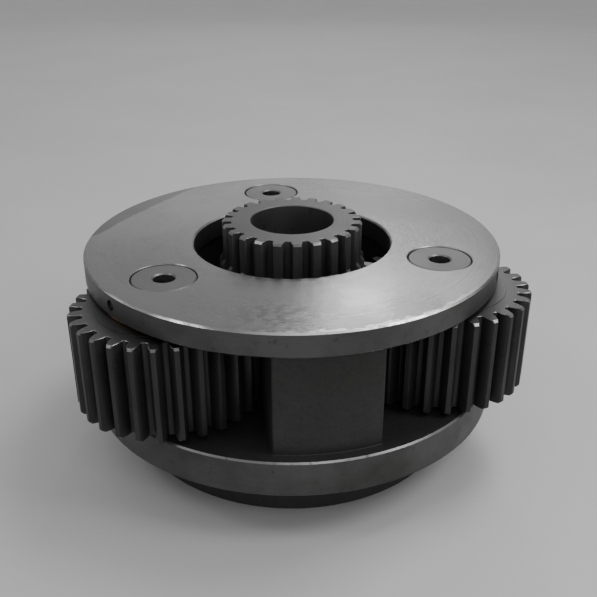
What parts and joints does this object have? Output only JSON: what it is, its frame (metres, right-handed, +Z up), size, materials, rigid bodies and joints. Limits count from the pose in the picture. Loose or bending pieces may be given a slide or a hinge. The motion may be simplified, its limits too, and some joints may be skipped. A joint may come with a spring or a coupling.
{
  "type": "planetary gear set",
  "caption": "Planetary gear set: a cast carrier with an upper and a lower plate, planets on pins with caged rollers, and a raised central sun gear.",
  "frame": {"origin": "on the gear axis, in the plane of the carrier boss's lower face, which the set stands on", "axes": "+Z up along the gear axis, from the output boss to the sun gear's raised end; +Y towards the pin of the third planet"},
  "size_m": [0.2594, 0.2647, 0.1366],
  "materials": {
    "carrier": "turned faces, oiled, as-cast and blackened webs",
    "sun_gear": "case-hardened and ground, oiled",
    "planet_gear": "case-hardened, darkened, ground flanks",
    "pin": "ground, turned ends",
    "roller": "ground bright",
    "spring_steel": "blackened spring steel",
    "cage": "phosphated pressed steel",
    "bronze": "turned bearing bronze"
  },
  "bodies": {
    "carrier": {"carrier": "carrier", "carrier_upper_plate": "carrier", "sun_thrust_plate": "bronze", "planet_pin_1": "pin", "lock_pin_1": "spring_steel", "lower_washer_1": "bronze", "upper_washer_1": "bronze", "planet_pin_2": "pin", "lock_pin_2": "spring_steel", "lower_washer_2": "bronze", "upper_washer_2": "bronze", "planet_pin_3": "pin", "lock_pin_3": "spring_steel", "lower_washer_3": "bronze", "upper_washer_3": "bronze"},
    "sun": {"sun_gear": "sun_gear"},
    "planet_1": {"planet_gear_1": "planet_gear"},
    "roller_cage_1": {"bearing_cage_1": "cage", "roller_1_1": "roller", "roller_1_2": "roller", "roller_1_3": "roller", "roller_1_4": "roller", "roller_1_5": "roller", "roller_1_6": "roller", "roller_1_7": "roller", "roller_1_8": "roller", "roller_1_9": "roller", "roller_1_10": "roller", "roller_1_11": "roller", "roller_1_12": "roller"},
    "planet_2": {"planet_gear_2": "planet_gear"},
    "roller_cage_2": {"bearing_cage_2": "cage", "roller_2_1": "roller", "roller_2_2": "roller", "roller_2_3": "roller", "roller_2_4": "roller", "roller_2_5": "roller", "roller_2_6": "roller", "roller_2_7": "roller", "roller_2_8": "roller", "roller_2_9": "roller", "roller_2_10": "roller", "roller_2_11": "roller", "roller_2_12": "roller"},
    "planet_3": {"planet_gear_3": "planet_gear"},
    "roller_cage_3": {"bearing_cage_3": "cage", "roller_3_1": "roller", "roller_3_2": "roller", "roller_3_3": "roller", "roller_3_4": "roller", "roller_3_5": "roller", "roller_3_6": "roller", "roller_3_7": "roller", "roller_3_8": "roller", "roller_3_9": "roller", "roller_3_10": "roller", "roller_3_11": "roller", "roller_3_12": "roller"}
  },
  "joints": [
    {"name": "sun_spin", "type": "hinge", "parent": "carrier", "child": "sun", "pos_m": [0, 0, 0.09], "axis": [0, 0, 1], "continuous": true},
    {"name": "planet_spin_1", "type": "hinge", "parent": "carrier", "child": "planet_1", "pos_m": [-0.07729, -0.04462, 0.0809], "axis": [0, 0, 1], "continuous": true},
    {"name": "cage_spin_1", "type": "hinge", "parent": "carrier", "child": "roller_cage_1", "pos_m": [-0.07729, -0.04462, 0.0809], "axis": [0, 0, 1], "continuous": true},
    {"name": "planet_spin_2", "type": "hinge", "parent": "carrier", "child": "planet_2", "pos_m": [0.07729, -0.04462, 0.0809], "axis": [0, 0, 1], "continuous": true},
    {"name": "cage_spin_2", "type": "hinge", "parent": "carrier", "child": "roller_cage_2", "pos_m": [0.07729, -0.04462, 0.0809], "axis": [0, 0, 1], "continuous": true},
    {"name": "planet_spin_3", "type": "hinge", "parent": "carrier", "child": "planet_3", "pos_m": [0, 0.08925, 0.0809], "axis": [0, 0, 1], "continuous": true},
    {"name": "cage_spin_3", "type": "hinge", "parent": "carrier", "child": "roller_cage_3", "pos_m": [0, 0.08925, 0.0809], "axis": [0, 0, 1], "continuous": true}
  ],
  "couplings": [
    {"joint": "planet_spin_1", "follows": "sun_spin", "ratio": -0.82143},
    {"joint": "cage_spin_1", "follows": "sun_spin", "ratio": -0.48729},
    {"joint": "planet_spin_2", "follows": "sun_spin", "ratio": -0.82143},
    {"joint": "cage_spin_2", "follows": "sun_spin", "ratio": -0.48729},
    {"joint": "planet_spin_3", "follows": "sun_spin", "ratio": -0.82143},
    {"joint": "cage_spin_3", "follows": "sun_spin", "ratio": -0.48729}
  ]
}
